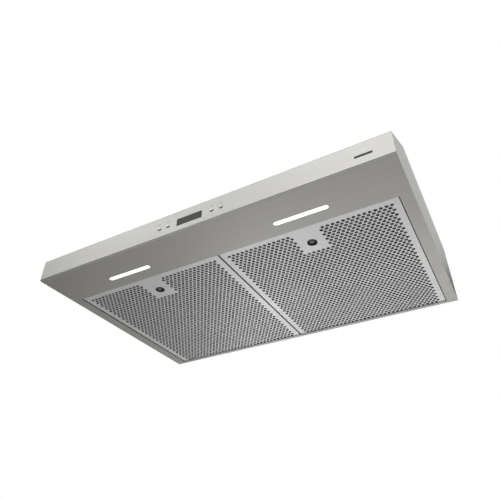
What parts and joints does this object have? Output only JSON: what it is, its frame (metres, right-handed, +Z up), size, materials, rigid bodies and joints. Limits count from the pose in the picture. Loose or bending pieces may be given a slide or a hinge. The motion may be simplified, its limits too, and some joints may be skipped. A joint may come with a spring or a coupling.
{
  "type": "under cabinet range hood",
  "caption": "Slim stainless hood with a sloping front: perforated filters swing down, slot lights, push buttons, twin blower and a damped duct collar on top.",
  "frame": {"origin": "middle of the flat top face, which fits up against the cabinet, level with the middle of the hood's depth", "axes": "+X to the right seen from the front, +Y to the wall, +Z up"},
  "size_m": [0.7588, 0.5038, 0.1597],
  "materials": {
    "stainless": "brushed",
    "galvanised": "galvanised, matt",
    "filter_aluminium": "mill",
    "spring_steel": "blued",
    "bright_steel": "polished",
    "zinc": "zinc plated",
    "motor_paint": "satin",
    "wheel_grey": "satin",
    "black_plastic": "moulded",
    "grey_plastic": "moulded",
    "white_plastic": "moulded",
    "lens_white": "opal, lit",
    "display_dark": "clear over dark",
    "board_green": "coated",
    "lead_black": "extruded"
  },
  "bodies": {
    "hood": {"underside_pan": "stainless", "canopy_top": "stainless", "side_panel_left": "stainless", "side_panel_right": "stainless", "back_panel": "galvanised", "wiring_knockout": "galvanised", "duct_collar": "galvanised", "blower_housing_left": "galvanised", "blower_housing_right": "galvanised", "light_housing_left": "galvanised", "light_housing_right": "galvanised", "wiring_box": "galvanised", "wiring_box_cover": "galvanised", "catch_spring_left": "spring_steel", "catch_spring_right": "spring_steel", "motor_end_left": "zinc", "motor_end_right": "zinc", "motor_bracket": "zinc", "collar_screw_left": "zinc", "collar_screw_right": "zinc", "cover_screw": "zinc", "motor_body": "motor_paint", "control_housing": "black_plastic", "lcd_module": "white_plastic", "light_board_left": "white_plastic", "light_board_right": "white_plastic", "terminal_block": "white_plastic", "light_supply": "white_plastic", "motor_capacitor": "white_plastic", "light_lens_left": "lens_white", "light_lens_right": "lens_white", "lcd_window": "display_dark", "control_board": "board_green", "lights_lead": "lead_black", "supply_lead": "lead_black", "motor_lead": "lead_black"},
    "filter_left": {"filter_face_left": "stainless", "filter_mesh_left": "filter_aluminium", "filter_back_left": "filter_aluminium", "latch_cup_left": "black_plastic", "latch_spring_left": "spring_steel"},
    "filter_right": {"filter_face_right": "stainless", "filter_mesh_right": "filter_aluminium", "filter_back_right": "filter_aluminium", "latch_cup_right": "black_plastic", "latch_spring_right": "spring_steel"},
    "latch_left": {"latch_slider_left": "grey_plastic"},
    "latch_right": {"latch_slider_right": "grey_plastic"},
    "rotor": {"motor_shaft": "bright_steel", "blower_wheel_left": "wheel_grey", "blower_wheel_right": "wheel_grey"},
    "damper": {"damper_flap": "galvanised", "damper_rod": "zinc"},
    "power_button": {"button_power": "bright_steel"},
    "fan_button": {"button_fan": "bright_steel"},
    "light_button": {"button_light": "bright_steel"},
    "timer_button": {"button_timer": "bright_steel"}
  },
  "joints": [
    {"name": "filter_left_swing", "type": "hinge", "parent": "hood", "child": "filter_left", "pos_m": [0, 0.24265, -0.1382], "axis": [1, 0, 0], "range_deg": [0, 70], "deforming": ["catch_spring_left"]},
    {"name": "latch_left_slide", "type": "slide", "parent": "filter_left", "child": "latch_left", "axis": [0, 1, 0], "range_m": [0, 0.003], "stiffness_N_per_m": 300, "springref_m": -0.003, "deforming": ["latch_spring_left"]},
    {"name": "filter_right_swing", "type": "hinge", "parent": "hood", "child": "filter_right", "pos_m": [0, 0.24265, -0.1382], "axis": [1, 0, 0], "range_deg": [0, 70], "deforming": ["catch_spring_right"]},
    {"name": "latch_right_slide", "type": "slide", "parent": "filter_right", "child": "latch_right", "axis": [0, 1, 0], "range_m": [0, 0.003], "stiffness_N_per_m": 300, "springref_m": -0.003, "deforming": ["latch_spring_right"]},
    {"name": "button_power_press", "type": "slide", "parent": "hood", "child": "power_button", "axis": [0, 1, 0], "range_m": [0, 0.0015], "stiffness_N_per_m": 600, "springref_m": -0.0005},
    {"name": "button_fan_press", "type": "slide", "parent": "hood", "child": "fan_button", "axis": [0, 1, 0], "range_m": [0, 0.0015], "stiffness_N_per_m": 600, "springref_m": -0.0005},
    {"name": "button_light_press", "type": "slide", "parent": "hood", "child": "light_button", "axis": [0, 1, 0], "range_m": [0, 0.0015], "stiffness_N_per_m": 600, "springref_m": -0.0005},
    {"name": "button_timer_press", "type": "slide", "parent": "hood", "child": "timer_button", "axis": [0, 1, 0], "range_m": [0, 0.0015], "stiffness_N_per_m": 600, "springref_m": -0.0005},
    {"name": "blower_spin", "type": "hinge", "parent": "hood", "child": "rotor", "pos_m": [0, 0.12115, -0.0477], "axis": [1, 0, 0], "continuous": true},
    {"name": "damper_swing", "type": "hinge", "parent": "hood", "child": "damper", "pos_m": [0, 0.11365, 0.0073], "axis": [1, 0, 0], "range_deg": [0, 75]}
  ]
}
